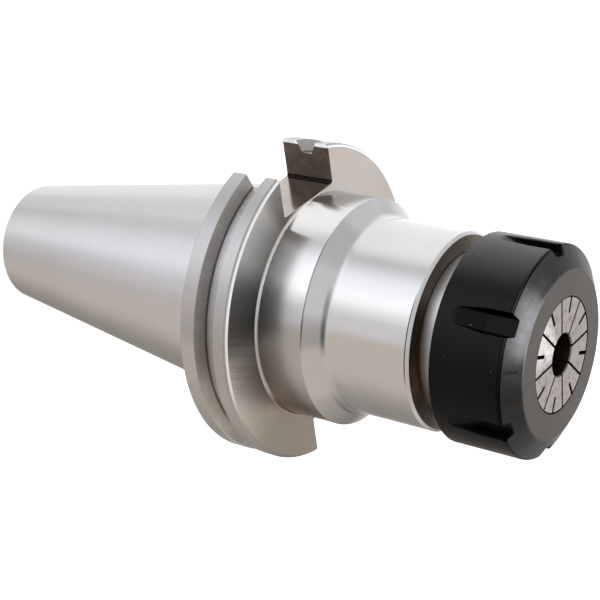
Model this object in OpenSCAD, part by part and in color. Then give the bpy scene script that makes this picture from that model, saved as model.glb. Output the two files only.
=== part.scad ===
// Collet chuck holder with a steep spindle taper, a vee-grooved flange, a slit collet and its clamping nut.
// Units are millimetres. The tool axis is +Z, pointing to the nose, and the gauge plane is at z = 0.

/* [Spindle taper] */
// Diameter of the taper at the gauge plane
gauge_d = 69.85; // [66:0.05:72]
// Length from the gauge plane to the small end
taper_len = 101.6; // [80:0.1:104]
// Change of diameter per millimetre of length, 7 in 24
taper_rate = 0.291667; // [0.25:0.001:0.3]
// Bevel round the small end
taper_edge = 1.4; // [0.4:0.1:2.5]
// Depth of the undercut between the taper and the flange
undercut_depth = 0.9; // [0.3:0.1:2]
// Width of that undercut
undercut_w = 1.8; // [0.8:0.1:2.8]

/* [Flange] */
// Outer diameter of the flange
flange_d = 100; // [96:0.1:105]
// Distance from the gauge plane to the rear face of the flange
flange_rear = 3; // [2.5:0.05:4.5]
// Thickness of the flange
flange_w = 16.9; // [15:0.1:19]
// Bevel on the rear rim of the flange
rear_rim_edge = 0.4; // [0.2:0.1:1.5]
// Bevel on the front rim of the flange
front_rim_edge = 1; // [0.2:0.1:2]
// Distance from the gauge plane to the middle of the vee groove
groove_mid = 11.65; // [11:0.05:12]
// Width of the vee groove at the rim
groove_w = 7.1; // [5.5:0.1:8]
// Diameter at the bottom of the vee groove
groove_floor_d = 92.4; // [90.5:0.1:94]
// Angle between the two walls of the vee groove
groove_angle = 50; // [40:1:60]
// Width of each of the two drive keyways
key_w = 26.2; // [20:0.1:30]
// Distance from the axis to the floor of a keyway
key_floor = 35.6; // [35.5:0.1:40]
// Radius where a keyway's floor meets its walls
key_corner_r = 0.8; // [0.2:0.1:2]

/* [Neck and body] */
// Diameter of the neck in front of the flange
neck_d = 70.8; // [66:0.1:71]
// Length of the neck in front of the flange
neck_len = 16.1; // [10:0.1:22]
// Fillet where the neck meets the flange
neck_fillet = 0.8; // [0.3:0.1:2]
// Angle of the sloping shoulder, measured from the axis
shoulder_angle = 47; // [35:1:60]
// Radius that blends the shoulder into the body
shoulder_blend_r = 3.5; // [1:0.5:6]
// Diameter of the body
body_d = 60.4; // [58:0.1:63]
// Distance from the gauge plane to the front face of the body
body_front = 68.55; // [60:0.1:72]
// Bevel on the front edge of the body
body_edge = 0.82; // [0.2:0.02:1.5]

/* [Nose thread] */
// Outside diameter of the nose thread
thread_d = 50; // [49:0.1:52]
// Pitch of the nose thread
thread_pitch = 1.5; // [1:0.25:2]
// Diameter of the relief between the body and the thread
relief_d = 48.5; // [46:0.1:48.6]
// Length of that relief
relief_len = 9; // [7.5:0.1:11]
// Distance from the gauge plane to the front face of the nose
nose_front = 90.4; // [88:0.1:91]
// Bevel at the front of the thread
thread_edge = 1; // [0.4:0.1:1.8]
// Running clearance on the radius of the nut's thread
thread_gap = 0.05; // [0.02:0.01:0.1]

/* [Collet] */
// Projection, from the gauge plane to the front face of the nut
projection = 101.6; // [100.6:0.1:104]
// How far the collet's face lies behind the nut's face
collet_recess = 0.1; // [0.1:0.1:1]
// Length of the collet
collet_len = 46; // [40:0.5:48]
// Largest diameter of the collet
collet_d = 41; // [40.6:0.1:41.4]
// Angle of the collet's long taper to the axis
seat_angle = 8; // [7:0.5:9]
// Diameter of the collet's front face
face_d = 33.5; // [32:0.1:35]
// Angle of the collet's front cone to the axis
cone_angle = 30; // [28:1:32]
// Diameter of the collet's head
head_d = 39.8; // [39:0.1:40.4]
// Width of the straight land on the head
head_land = 0.9; // [0.5:0.1:1.4]
// Diameter at the bottom of the extraction groove
extract_d = 36.2; // [35.4:0.1:37]
// Width of the extraction groove
extract_w = 3; // [2.6:0.1:3.4]
// Diameter of the gripping bore
bore_d = 12.5; // [6:0.5:16]
// Bevel at each end of the gripping bore
bore_edge = 0.4; // [0.1:0.1:1]
// Bevel round the rear end of the collet
tail_edge = 0.8; // [0.2:0.1:1.5]
// Running clearance between the collet and its seats, on the radius
seat_gap = 0.05; // [0.02:0.01:0.1]

/* [Collet slits] */
// Number of slits sawn from each end
slit_pairs = 8; // [4:1:8]
// Width of a slit
slit_w = 0.8; // [0.4:0.05:1]
// Width of the slits sawn from the rear end, whose ends show in the face
tick_w = 1.1; // [0.5:0.05:1.4]
// Radius of the saw that cuts the slits
saw_r = 25; // [20:1:32]
// Distance from the axis that the saw reaches
saw_reach = 2.6; // [2:0.1:2.9]
// Distance from the axis where a slit from the far end shows in a face
tick_start = 12.2; // [11:0.1:14.5]
// Turn of the slits about the axis
collet_clock = -4.5; // [-22:0.5:22]

/* [Clamping nut] */
// Outer diameter of the nut
nut_d = 63; // [61:0.1:66]
// Length of the nut
nut_len = 25.8; // [24:0.1:26.5]
// Bevel round the nut's rear edge
nut_rear_edge = 0.5; // [0.2:0.1:1.5]
// Diameter of the nut's flat front face
nut_face_d = 49.4; // [44:0.1:54]
// Angle of the nut's front bevel to the flat face
nut_bevel_angle = 29; // [20:1:40]
// Radius where the nut's outside turns into the bevel
nut_corner_r = 0.9; // [0.3:0.1:2]
// Gap between the collet's face and the nut's opening
mouth_gap = 0.4; // [0.1:0.05:0.5]
// Gap over the collet's head inside the nut
head_gap = 0.3; // [0.2:0.05:0.5]
// Play of the extraction lip along the collet's groove
lip_play = 0.3; // [0.2:0.05:0.5]
// Gap between the extraction lip and the bottom of the groove
lip_gap = 0.15; // [0.1:0.05:0.4]
// Gap by which the collet's head slips past the lip
lip_pass = 0.15; // [0.1:0.05:0.4]
// Width of the undercut behind the lip
nut_undercut_w = 1.1; // [0.6:0.1:1.4]
// Depth of that undercut below the thread
nut_undercut_depth = 0.8; // [0.4:0.1:1.2]
// Bevel where the nut's thread starts
nut_lead_in = 1; // [0.4:0.1:1.6]

/* [Spanner slots] */
// Number of spanner slots round the nut
slot_count = 6; // [3:1:8]
// Width of a slot at the nut's surface
slot_w = 7.4; // [5:0.1:9]
// Width of a slot at its floor
slot_floor_w = 4.8; // [3:0.1:7]
// Depth of a slot below the nut's surface
slot_depth = 2.9; // [1.5:0.1:3.5]
// Length of a slot back from the nut's face
slot_len = 21.2; // [18:0.1:23]
// Angle at which a slot's floor runs out to the nut's surface at the rear
slot_ramp = 17; // [14:0.5:30]
// Turn of the nut about the axis
nut_clock = -13; // [-30:0.5:30]

/* [Bores] */
// Outside diameter of the pull stud thread
stud_d = 25.4; // [24:0.1:26]
// Pitch of the pull stud thread
stud_pitch = 3.175; // [2.5:0.025:3.5]
// Depth of the pull stud thread from the small end
stud_depth = 48; // [40:1:60]
// Diameter of the pilot in front of the pull stud thread
pilot_d = 26.2; // [26:0.1:28]
// Depth of the pilot
pilot_depth = 6; // [3:0.5:10]
// Diameter of the coolant hole along the axis
coolant_d = 12; // [6:0.5:16]
// Diameter of the stop screw thread behind the collet
stop_d = 22; // [18:0.5:26]
// Length of the stop screw thread
stop_len = 32; // [20:1:36]
// Diameter of the clearance bore behind the collet
clearance_d = 28.6; // [26:0.1:29]
// Length of that clearance bore behind the collet's seat
clearance_len = 10; // [6:0.5:14]
// Gap between the collet's rear end and the end of its seat
tail_gap = 0.8; // [0.4:0.1:2]
// Angle of a drill's point
drill_angle = 118; // [90:1:135]

/* [Hidden] */
$fn = 96;
// overshoot of a cut past the face that it opens
past = 1;

holder_colour = [0.72, 0.71, 0.70];
nut_colour = [0.13, 0.13, 0.14];
collet_colour = [0.80, 0.78, 0.76];

gauge_r = gauge_d / 2;
small_end = -taper_len;
small_r = gauge_r - taper_len * taper_rate / 2;
flange_r = flange_d / 2;
flange_front = flange_rear + flange_w;
groove_floor_r = groove_floor_d / 2;
groove_slope = (flange_r - groove_floor_r) * tan(groove_angle / 2);
neck_r = neck_d / 2;
neck_front = flange_front + neck_len;
body_r = body_d / 2;
shoulder_front = neck_front + (neck_r - body_r) / tan(shoulder_angle);

// a plain thread cylinder runs at mid height of its thread, whose height is this share of the pitch
thread_share = 0.6495;
thread_r = (thread_d - thread_share * thread_pitch) / 2 - thread_gap / 2;
nut_thread_r = thread_r + thread_gap;
stud_r = (stud_d - thread_share * stud_pitch) / 2;
relief_r = relief_d / 2;
relief_front = body_front + relief_len;

face_z = projection - collet_recess;
tail_z = face_z - collet_len;
face_r = face_d / 2;
head_r = head_d / 2;
head_front = face_z - (head_r - face_r) / tan(cone_angle);
head_rear = head_front - head_land;
extract_r = extract_d / 2;
extract_rear = head_rear - extract_w;
collet_r = collet_d / 2;
bore_r = bore_d / 2;
tail_r = collet_taper(tail_z);

nut_r = nut_d / 2;
nut_rear = projection - nut_len;
nut_face_r = nut_face_d / 2;
nut_edge_z = projection - (nut_r - nut_face_r) * tan(nut_bevel_angle);
mouth_r = face_r + mouth_gap;
lip_front = head_rear - lip_play;
lip_rear = extract_rear + lip_play;
lip_r = head_r + lip_pass;
lip_offset = lip_r - extract_r - lip_gap;
nut_undercut_rear = lip_rear - nut_undercut_w;
head_room_r = head_r + head_gap;

seat_rear = tail_z - tail_gap;
clearance_rear = seat_rear - clearance_len;
stop_rear = clearance_rear - stop_len;

// radius of the collet's long taper at height z
function collet_taper(z) = collet_r - (extract_rear - z) * tan(seat_angle);
// radius of the nut's inner cone at height z
function nut_cone(z) = face_r + (face_z - z) * tan(cone_angle) + seat_gap;
// height where the nut's inner cone has radius r
function nut_cone_z(r) = face_z - (r - face_r - seat_gap) / tan(cone_angle);

// A hole along the axis from z = low up to z = high
module bore(r, low, high) {
    translate([0, 0, low]) cylinder(r = r, h = high - low);
}

// A cone along the axis, radius r_low at z = low and r_high at z = high
module cone(r_low, low, r_high, high) {
    translate([0, 0, low]) cylinder(r1 = r_low, r2 = r_high, h = high - low);
}

// Half section of a concave fillet that stands on a face at height z, against a cylinder of radius r
module fillet_section(r, z, size) {
    difference() {
        translate([r, z]) square(size);
        translate([r + size, z + size]) circle(size);
    }
}

// Half section of the blend between the sloping shoulder and the body
module shoulder_blend_section() {
    reach = shoulder_blend_r * tan(shoulder_angle / 2);
    centre = [body_r + shoulder_blend_r, shoulder_front + reach];
    on_slope = [body_r + reach * sin(shoulder_angle), shoulder_front - reach * cos(shoulder_angle)];
    difference() {
        polygon([[body_r, shoulder_front], on_slope, centre, [body_r, centre.y]]);
        translate(centre) circle(shoulder_blend_r);
    }
}

// Half section of the spindle end: taper, undercut and flange, with the vee groove cut in it
module spindle_section() {
    edge_r = small_r + taper_edge * taper_rate / 2;
    undercut_r = gauge_r - undercut_depth;
    undercut_rear = flange_rear - undercut_w;
    polygon([
        [0, small_end],
        [edge_r - taper_edge, small_end],
        [edge_r, small_end + taper_edge],
        [gauge_r, 0],
        [gauge_r, undercut_rear - undercut_depth],
        [undercut_r, undercut_rear],
        [undercut_r, flange_rear],
        [flange_r - rear_rim_edge, flange_rear],
        [flange_r, flange_rear + rear_rim_edge],
        [flange_r, groove_mid - groove_w / 2],
        [groove_floor_r, groove_mid - groove_w / 2 + groove_slope],
        [groove_floor_r, groove_mid + groove_w / 2 - groove_slope],
        [flange_r, groove_mid + groove_w / 2],
        [flange_r, flange_front - front_rim_edge],
        [flange_r - front_rim_edge, flange_front],
        [0, flange_front]
    ]);
}

// Half section of the nose end: neck, shoulder, body, relief and thread
module nose_section() {
    polygon([
        [0, flange_front - past],
        [neck_r, flange_front - past],
        [neck_r, neck_front],
        [body_r, shoulder_front],
        [body_r, body_front - body_edge],
        [body_r - body_edge, body_front],
        [relief_r, body_front],
        [relief_r, relief_front],
        [thread_r, relief_front + thread_r - relief_r],
        [thread_r, nose_front - thread_edge],
        [thread_r - thread_edge, nose_front],
        [0, nose_front]
    ]);
    fillet_section(neck_r, flange_front, neck_fillet);
    shoulder_blend_section();
}

// One keyway through the flange, square to the axis at +X, with rounded floor corners
module keyway() {
    translate([0, 0, flange_rear - past]) linear_extrude(flange_w + past + neck_fillet + past) {
        translate([key_floor + key_corner_r, -key_w / 2]) square([flange_r, key_w]);
        translate([key_floor, -key_w / 2 + key_corner_r]) square([flange_r, key_w - 2 * key_corner_r]);
        for (side = [-1, 1])
            translate([key_floor + key_corner_r, side * (key_w / 2 - key_corner_r)]) circle(key_corner_r);
    }
}

// Everything bored out of the holder, from the pull stud's thread to the collet's seat
module holder_bores() {
    stud_end = small_end + stud_depth;
    stud_point = stud_r / tan(drill_angle / 2);
    pilot_lead = pilot_d / 2 - stud_r;
    stop_point = stop_d / 2 / tan(drill_angle / 2);
    mouth_z = nose_front + past;
    bore(pilot_d / 2, small_end - past, small_end + pilot_depth);
    cone(pilot_d / 2, small_end + pilot_depth, stud_r, small_end + pilot_depth + pilot_lead);
    bore(stud_r, small_end + pilot_depth, stud_end);
    cone(stud_r, stud_end, 0, stud_end + stud_point);
    bore(coolant_d / 2, stud_end, stop_rear);
    cone(0, stop_rear - stop_point, stop_d / 2, stop_rear);
    bore(stop_d / 2, stop_rear, clearance_rear + past);
    bore(clearance_d / 2, clearance_rear, seat_rear + past);
    cone(collet_taper(seat_rear) + seat_gap, seat_rear, collet_taper(mouth_z) + seat_gap, mouth_z);
}

// The one-piece holder
module holder_body() {
    color(holder_colour) difference() {
        union() {
            rotate_extrude() spindle_section();
            rotate_extrude() nose_section();
        }
        keyway();
        rotate([0, 0, 180]) keyway();
        holder_bores();
    }
}

// Half section of the collet: long taper, extraction groove, head and front cone
module collet_section() {
    polygon([
        [0, tail_z],
        [tail_r - tail_edge, tail_z],
        [collet_taper(tail_z + tail_edge), tail_z + tail_edge],
        [collet_r, extract_rear],
        [extract_r, extract_rear],
        [extract_r, head_rear],
        [head_r, head_rear],
        [head_r, head_front],
        [face_r, face_z],
        [0, face_z]
    ]);
}

// One sawn slit of a width in the plane of +X. It opens the end at z = open_z fully, and the saw's round
// end shows in the face at z = far_z only from tick_start outwards.
module slit(open_z, far_z, width) {
    toward = sign(far_z - open_z);
    saw_x = saw_reach + saw_r;
    saw_z = far_z - toward * sqrt(pow(saw_r, 2) - pow(saw_x - tick_start, 2));
    low = min(saw_z, open_z - toward * past);
    high = max(saw_z, open_z - toward * past);
    rotate([90, 0, 0]) linear_extrude(width, center = true) {
        translate([saw_reach, low]) square([collet_r, high - low]);
        translate([saw_x, saw_z]) circle(saw_r);
    }
}

// The collet, slit from both ends in turn
module collet() {
    step = 360 / slit_pairs;
    color(collet_colour) difference() {
        rotate_extrude() collet_section();
        bore(bore_r, tail_z - past, face_z + past);
        cone(bore_r + bore_edge + past, tail_z - past, bore_r, tail_z + bore_edge);
        cone(bore_r, face_z - bore_edge, bore_r + bore_edge + past, face_z + past);
        for (i = [0 : slit_pairs - 1]) {
            rotate([0, 0, collet_clock + i * step]) slit(face_z, tail_z, slit_w);
            rotate([0, 0, collet_clock + (i + 0.5) * step]) slit(tail_z, face_z, tick_w);
        }
    }
}

// Half section of the nut, without its slots and its extraction lip's bore
module nut_section() {
    corner_reach = nut_corner_r * tan((90 - nut_bevel_angle) / 2);
    polygon([
        [nut_thread_r + nut_lead_in, nut_rear],
        [nut_r - nut_rear_edge, nut_rear],
        [nut_r, nut_rear + nut_rear_edge],
        [nut_r, nut_edge_z - corner_reach],
        [nut_r - corner_reach * cos(nut_bevel_angle), nut_edge_z + corner_reach * sin(nut_bevel_angle)],
        [nut_face_r, projection],
        [mouth_r, projection],
        [mouth_r, nut_cone_z(mouth_r)],
        [head_room_r, nut_cone_z(head_room_r)],
        [head_room_r, lip_front],
        [0, lip_front],
        [0, lip_rear],
        [nut_thread_r + nut_undercut_depth, lip_rear],
        [nut_thread_r + nut_undercut_depth, nut_undercut_rear],
        [nut_thread_r, nut_undercut_rear - nut_undercut_depth],
        [nut_thread_r, nut_rear + nut_lead_in]
    ]);
    nut_corner_section(corner_reach);
}

// Half section of the rounded corner between the nut's outside and its front bevel
module nut_corner_section(reach) {
    centre = [nut_r - nut_corner_r, nut_edge_z - reach];
    intersection() {
        translate(centre) circle(nut_corner_r);
        translate(centre) square(nut_corner_r);
    }
}

// Half width of a spanner slot's opening at a height above its floor
function slot_half(height) = slot_floor_w / 2 + height * (slot_w - slot_floor_w) / 2 / slot_depth;

// A length of spanner slot along +Z, its floor in the plane x = 0
module slot_run(run) {
    height = slot_depth + past;
    linear_extrude(run)
        polygon([
            [0, -slot_half(0)],
            [height, -slot_half(height)],
            [height, slot_half(height)],
            [0, slot_half(0)]
        ]);
}

// One spanner slot in the direction of +X. Its floor is flat at the front and then rises to a round rear end.
module spanner_slot() {
    height = slot_depth + past;
    ramp_len = slot_depth / tan(slot_ramp);
    ramp_run = slot_depth / sin(slot_ramp) - slot_half(0);
    translate([nut_r - slot_depth, 0, projection - slot_len + ramp_len]) {
        slot_run(slot_len);
        rotate([0, -slot_ramp, 0]) translate([0, 0, -ramp_run]) {
            slot_run(ramp_run);
            rotate([0, 90, 0]) cylinder(r1 = slot_half(0), r2 = slot_half(height), h = height);
        }
    }
}

// The clamping nut, whose off-centre lip pulls the collet out when the nut is undone
module clamping_nut() {
    color(nut_colour) rotate([0, 0, nut_clock]) difference() {
        rotate_extrude() nut_section();
        translate([lip_offset, 0, 0]) bore(lip_r, lip_rear - past, lip_front + past);
        for (i = [0 : slot_count - 1])
            rotate([0, 0, i * 360 / slot_count]) spanner_slot();
    }
}

holder_body();
collet();
clamping_nut();
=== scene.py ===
"""Looks of the collet chuck holder: ground steel, black oxide, a bright collet and the real threads.

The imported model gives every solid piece. This file adds the threads as helical surfaces, gives each piece
its finish and sets up the studio. It is laid out as an add-on and run as a script. Lengths in the property
groups are in metres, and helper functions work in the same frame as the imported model: +Z along the tool
axis to the nose, with the gauge plane at z = 0. Azimuths are in degrees from +X towards +Y.
"""
import math
from typing import NamedTuple, Optional

import bpy
import numpy as np
from bpy.props import FloatProperty, FloatVectorProperty, IntProperty, PointerProperty
from bpy.types import Operator, Panel, PropertyGroup
from mathutils import Matrix, Vector


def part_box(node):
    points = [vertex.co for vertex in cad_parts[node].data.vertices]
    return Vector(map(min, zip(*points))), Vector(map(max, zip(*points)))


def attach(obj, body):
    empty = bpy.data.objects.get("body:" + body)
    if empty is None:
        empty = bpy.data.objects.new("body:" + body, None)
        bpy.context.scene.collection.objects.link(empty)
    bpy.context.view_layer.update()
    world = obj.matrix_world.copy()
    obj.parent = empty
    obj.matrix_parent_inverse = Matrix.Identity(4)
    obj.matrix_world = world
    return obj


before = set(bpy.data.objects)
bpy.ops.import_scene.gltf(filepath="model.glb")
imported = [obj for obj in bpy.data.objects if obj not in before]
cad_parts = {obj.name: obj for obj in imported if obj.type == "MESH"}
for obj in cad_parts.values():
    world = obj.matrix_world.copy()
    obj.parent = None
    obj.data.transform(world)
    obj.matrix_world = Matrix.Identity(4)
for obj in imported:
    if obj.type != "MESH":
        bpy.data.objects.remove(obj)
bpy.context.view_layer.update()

bl_info = {
    "name": "Collet chuck looks",
    "version": (1, 0, 0),
    "blender": (4, 5, 0),
    "location": "View3D > Sidebar > Chuck",
    "description": "Finishes, threads and studio for a steep-taper collet chuck holder",
    "category": "Object",
}

MM = 0.001
SMALL_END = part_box("holder_body")[0].z
NUT_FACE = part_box("clamping_nut")[1].z
COLLET_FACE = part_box("collet")[1].z


# ---- Sizes and colours ----

def length(name, description, default):
    """A length property, shown in the user's units."""
    return FloatProperty(name=name, description=description, default=default, unit="LENGTH", precision=5)


def angle(name, description, degrees):
    """An angle property, shown in the user's units."""
    return FloatProperty(name=name, description=description, default=math.radians(degrees), subtype="ANGLE")


def colour(name, description, default):
    """An RGB colour property."""
    return FloatVectorProperty(name=name, description=description, default=default,
                               subtype="COLOR", min=0, max=1)


def share(name, description, default):
    """A plain number from 0 to 1."""
    return FloatProperty(name=name, description=description, default=default, min=0, max=1, subtype="FACTOR")


class ChuckSizes(PropertyGroup):
    """Sizes of the threads and the places where the finish changes."""

    thread_pitch: length("Nose thread pitch", "Pitch of the nose thread", 1.5 * MM)
    thread_root: length("Nose thread body", "Radius of the plain cylinder under the nose thread", 24.488 * MM)
    thread_crest: length("Nose thread crest", "Outer radius of the nose thread", 24.95 * MM)
    thread_start: length("Nose thread start", "Height where the nose thread starts", 77.9 * MM)
    thread_end: length("Nose thread end", "Height where the nose thread ends", 89.6 * MM)
    nut_root: length("Nut bore", "Radius of the plain bore under the nut's thread", 24.538 * MM)
    nut_crest: length("Nut thread crest", "Inner radius of the nut's thread", 24.3 * MM)
    nut_thread_start: length("Nut thread start",
                             "Height where the nut's thread starts, half a pitch off the nose's", 77.15 * MM)
    nut_thread_end: length("Nut thread end", "Height where the nut's thread ends", 89.9 * MM)
    stud_pitch: length("Pull stud pitch", "Pitch of the pull stud thread", 3.175 * MM)
    stud_root: length("Pull stud hole", "Radius of the plain hole under the pull stud thread", 11.669 * MM)
    stud_crest: length("Pull stud crest", "Inner radius of the pull stud thread", 10.9 * MM)
    stud_start: length("Pull stud start", "Height where the pull stud thread starts", -93.6 * MM)
    stud_end: length("Pull stud end", "Height where the pull stud thread ends", -55.0 * MM)
    flange_rear: length("Flange rear", "Height of the flange's rear face", 3.0 * MM)
    flange_front: length("Flange front", "Height of the flange's front face", 19.9 * MM)
    flange_radius: length("Flange radius", "Outer radius of the flange", 50.0 * MM)
    groove_low: length("Groove rear", "Height of the vee groove's rear rim", 8.1 * MM)
    groove_high: length("Groove front", "Height of the vee groove's front rim", 15.2 * MM)
    groove_run: length("Groove run", "Length along the axis of each wall of the vee groove", 1.77 * MM)
    groove_radius: length("Groove radius", "Radius of the vee groove's floor", 46.2 * MM)
    key_floor: length("Key floor", "Distance from the axis to a keyway's floor", 35.6 * MM)
    key_half: length("Key half width", "Half the width of a keyway", 13.13 * MM)
    lip: length("Keyway lip", "Width of the broken edge along a keyway's mouth", 1.2 * MM)
    neck_end: length("Neck end", "Height where the neck ends and the shoulder starts", 36.0 * MM)
    neck_radius: length("Neck radius", "Radius of the neck", 35.4 * MM)
    body_front: length("Body front", "Height of the body's front face", 68.55 * MM)
    relief_radius: length("Relief radius", "Radius of the thread relief", 24.25 * MM)
    nut_radius: length("Nut radius", "Outer radius of the nut", 31.5 * MM)
    nut_face_radius: length("Nut face radius", "Outer radius of the nut's flat face", 24.7 * MM)
    nut_edge: length("Nut edge", "Height where the nut's bevel starts", 97.3 * MM)
    nut_slope: FloatProperty(name="Bevel slope", description="Drop of the nut's bevel for each unit of radius",
                             default=math.tan(math.radians(29)))
    nut_clock: angle("Nut clock", "Turn of the nut about Z", -13)
    slot_count: IntProperty(name="Slot count", description="Number of spanner slots in the nut", default=6)
    slot_half: length("Slot half width", "Half the width of a spanner slot's floor", 2.4 * MM)
    mouth_radius: length("Mouth radius", "Radius of the nut's mouth", 17.15 * MM)
    face_radius: length("Collet face radius", "Outer radius of the collet's face", 16.75 * MM)
    bore_radius: length("Collet bore radius", "Radius of the collet's bore", 6.25 * MM)


class ChuckFinish(PropertyGroup):
    """Colours and roughness of the finishes."""

    steel: colour("Ground steel", "Colour of the ground steel", (0.575, 0.57, 0.565))
    steel_rough: share("Ground roughness", "Roughness of the ground steel", 0.30)
    polished_rough: share("Polished roughness", "Roughness of the neck and body", 0.2)
    # haze: a random hazy tint on the polished steel; the same colour is also the painted cool reflection on one
    # side of the taper
    haze: colour("Haze", "Colour of the faint haze on the neck, the body and one side of the taper",
                 (0.535, 0.54, 0.57))
    milled: colour("Groove wall", "Colour of the vee groove's rear wall", (0.36, 0.34, 0.32))
    # painted light: the groove wall is paler on its lower side
    milled_painted_light: colour("Pale groove wall", "Colour of that wall on its lower side", (0.54, 0.515, 0.475))
    key_wall: colour("Keyway wall", "Colour of the keyways' side walls", (0.20, 0.165, 0.14))
    key_floor: colour("Keyway floor", "Colour of the keyways' floors", (0.36, 0.33, 0.305))
    # the face's darker warm colour is partly a painted dark reflection; its cool and warm variants are painted
    # reflections
    face: colour("Flange face", "Colour of the flange's turned front face", (0.42, 0.385, 0.355))
    face_cool_reflection: colour("Cool flange face", "Colour of that face where it mirrors the cool card",
                      (0.42, 0.415, 0.405))
    face_warm_reflection: colour("Warm flange face", "Colour of that face where it mirrors the warm side",
                      (0.545, 0.455, 0.365))
    # painted highlight: near white on the flange's front chamfer and on the keyways' broken edges
    chamfer_highlight: colour("Flange chamfer", "Colour of the bright chamfer at the flange's front", (0.95, 0.945, 0.93))
    neck_line: colour("Neck line", "Colour of the thin fillet at the neck's foot", (0.56, 0.54, 0.495))
    neck_stain: colour("Neck stain", "Colour of the stained stretch of that fillet", (0.22, 0.14, 0.05))
    annulus: colour("Body front", "Colour of the body's front face behind the nut", (0.19, 0.163, 0.132))
    annulus_warm: colour("Oily body front", "Colour of that face where a film of oil warms it",
                         (0.19, 0.15, 0.09))
    amber: colour("Oil line", "Colour of the oil in the corner behind the nut", (0.17, 0.075, 0.025))
    oxide: colour("Black oxide", "Colour of the nut", (0.0025, 0.0025, 0.003))
    oxide_rough: share("Oxide roughness", "Roughness of the nut", 0.34)
    oxide_gloss: share("Oxide gloss", "Strength of the reflection on the nut", 0.14)
    oxide_face: colour("Oxide face", "Colour of the nut's flat face", (0.125, 0.117, 0.108))
    # painted highlight: the bevel goes from the dull colour to a bluish grey near one azimuth
    oxide_dull: colour("Oxide dull", "Colour of the nut's bevel where it is little worn", (0.027, 0.027, 0.026))
    oxide_bevel_highlight: colour("Oxide bevel", "Colour of the nut's bevel where it is most worn", (0.36, 0.37, 0.39))
    # painted light: the nut's side is lighter at its top
    oxide_lit_top: colour("Oxide top", "Colour of the nut's dusty side", (0.085, 0.083, 0.088))
    # the rim colour is a little wear all round and a painted highlight near one azimuth; the specks use it too
    oxide_rim: colour("Oxide rim", "Colour of the worn edge between the nut's bevel and face",
                      (0.36, 0.37, 0.39))
    collet: colour("Collet steel", "Colour of the collet's face", (0.475, 0.43, 0.40))
    # painted highlight: the collet's face brightens near one azimuth
    collet_highlight: colour("Bright collet", "Colour of that face where it was rubbed bright", (0.96, 0.92, 0.87))
    collet_rough: share("Collet roughness", "Roughness of the collet", 0.42)
    stain: colour("Stain", "Colour of the stains on the collet's face", (0.20, 0.16, 0.13))
    # painted shade: dark colour inside the collet's bore and on its other faces and slits
    collet_bore_shade: colour("Collet bore", "Colour inside the collet's bore", (0.06, 0.055, 0.05))
    collet_side_shade: colour("Collet side", "Colour of the collet's other faces and slits", (0.16, 0.15, 0.145))


class ChuckStage(PropertyGroup):
    """The camera and the floor."""

    aim: FloatVectorProperty(name="Aim", description="Point that the camera looks at", unit="LENGTH",
                             default=(-3.55 * MM, -3.85 * MM, 8.08 * MM))
    distance: length("Camera distance", "Distance from the aim to the camera", 463.96 * MM)
    azimuth: angle("Azimuth", "Direction of view about Z, from +Y towards +X", 214.67)
    elevation: angle("Elevation", "Height of the camera above the horizon", 32.67)
    roll: angle("Roll", "Turn of the camera about its line of sight", 102.4)
    lens: FloatProperty(name="Lens", description="Focal length for the sensor's width", default=86.7)
    sensor: FloatProperty(name="Sensor", description="Width of the camera's sensor in mm", default=36.0)
    floor_size: length("Floor size", "Width of the floor", 4.0)
    floor_tint: colour("Floor", "Colour of the floor", (0.8, 0.8, 0.8))
    floor_rough: share("Floor roughness", "Roughness of the floor", 0.9)
    floor_glow: share("Floor glow", "Glow that makes the floor white for the camera", 0.62)


SIZES = "chuck_sizes"
FINISH = "chuck_finish"
STAGE = "chuck_stage"


# ---- Node sheets ----

class Value:
    """A node's output that takes Python arithmetic; each operation adds one Math node."""

    def __init__(self, sheet, socket):
        self.sheet = sheet
        self.socket = socket

    def _math(self, operation, *others):
        return self.sheet.math(operation, self, *others)

    def __add__(self, other):
        return self._math("ADD", other)

    def __radd__(self, other):
        return self._math("ADD", other)

    def __sub__(self, other):
        return self._math("SUBTRACT", other)

    def __rsub__(self, other):
        return self.sheet.math("SUBTRACT", other, self)

    def __mul__(self, other):
        return self._math("MULTIPLY", other)

    def __rmul__(self, other):
        return self._math("MULTIPLY", other)

    def __truediv__(self, other):
        return self._math("DIVIDE", other)

    def __abs__(self):
        return self._math("ABSOLUTE")

    def clamped(self):
        """This value held between 0 and 1."""
        return self.sheet.node("ShaderNodeClamp", {}, {0: self})


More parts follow.
